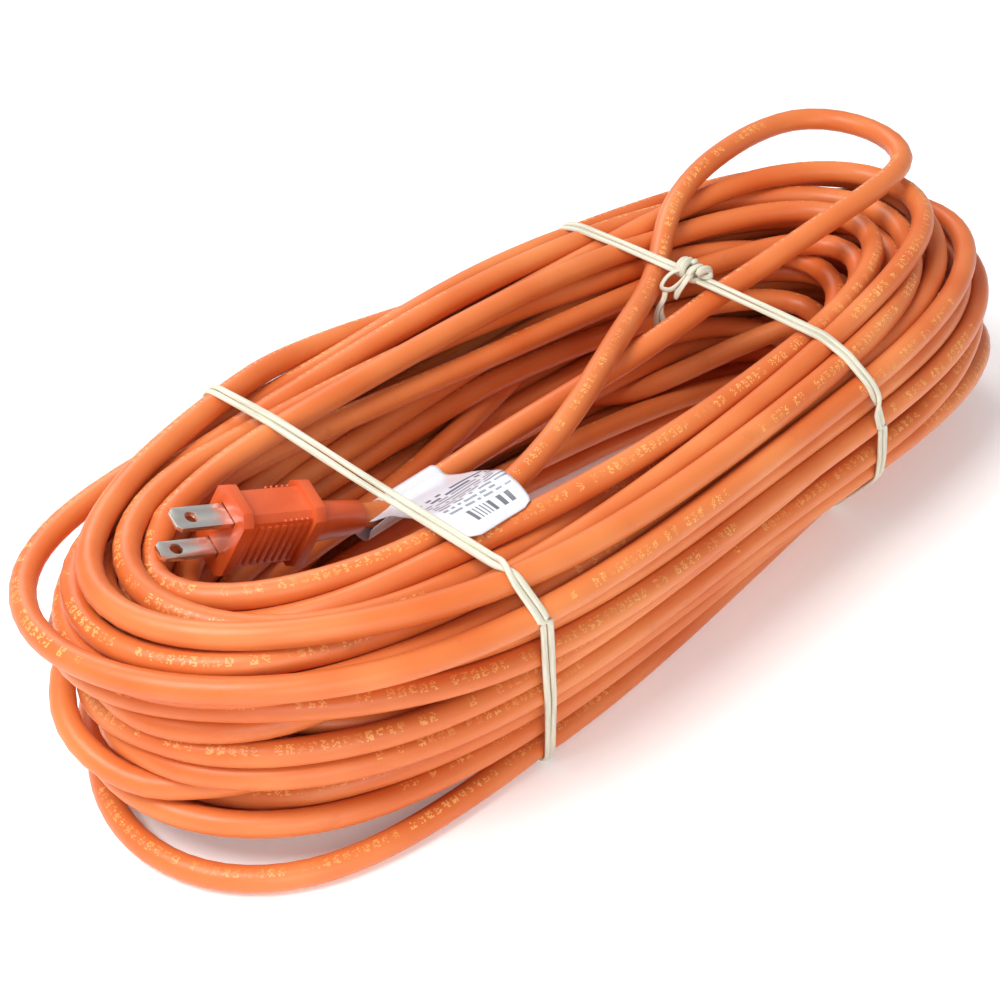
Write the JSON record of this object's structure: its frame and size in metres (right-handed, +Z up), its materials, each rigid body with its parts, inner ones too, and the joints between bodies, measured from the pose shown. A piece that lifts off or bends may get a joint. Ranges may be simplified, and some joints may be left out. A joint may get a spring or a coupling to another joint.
{
  "type": "extension cord",
  "caption": "Round two-conductor extension cord wound into a flat oval hank and tied twice, with a two-blade plug and a two-slot connector.",
  "frame": {"origin": "middle of the hank's footprint, on the surface that it lies on", "axes": "+Z up; +X along the hank's long side, away from the plug; +Y across the hank"},
  "size_m": [0.366, 0.1448, 0.0889],
  "materials": {
    "jacket": "satin orange PVC jacket, extruded",
    "plug_moulding": "satin red-orange PVC overmould",
    "bridge_plastic": "hard moulded insert",
    "blade": "bright nickel-plated brass",
    "contact": "stamped brass",
    "core_white": "white insulation",
    "core_black": "black insulation",
    "copper": "bare stranded copper",
    "label_paper": "glossy white film label",
    "tie_band": "cream-white tie band"
  },
  "bodies": {
    "root": {"hank": "jacket", "plug_lead": "jacket", "connector_tail": "jacket", "plug_body": "plug_moulding", "connector_body": "plug_moulding", "plug_bridge": "bridge_plastic", "connector_insert": "bridge_plastic", "blade_neutral": "blade", "blade_line": "blade", "contact_neutral": "contact", "contact_line": "contact", "plug_core_white": "core_white", "connector_core_white": "core_white", "plug_core_black": "core_black", "connector_core_black": "core_black", "plug_strands_white": "copper", "plug_strands_black": "copper", "connector_strands_white": "copper", "connector_strands_black": "copper", "flag_label": "label_paper", "tie_front": "tie_band", "tie_front_knot": "tie_band", "tie_rear": "tie_band", "tie_rear_knot": "tie_band"}
  },
  "joints": []
}
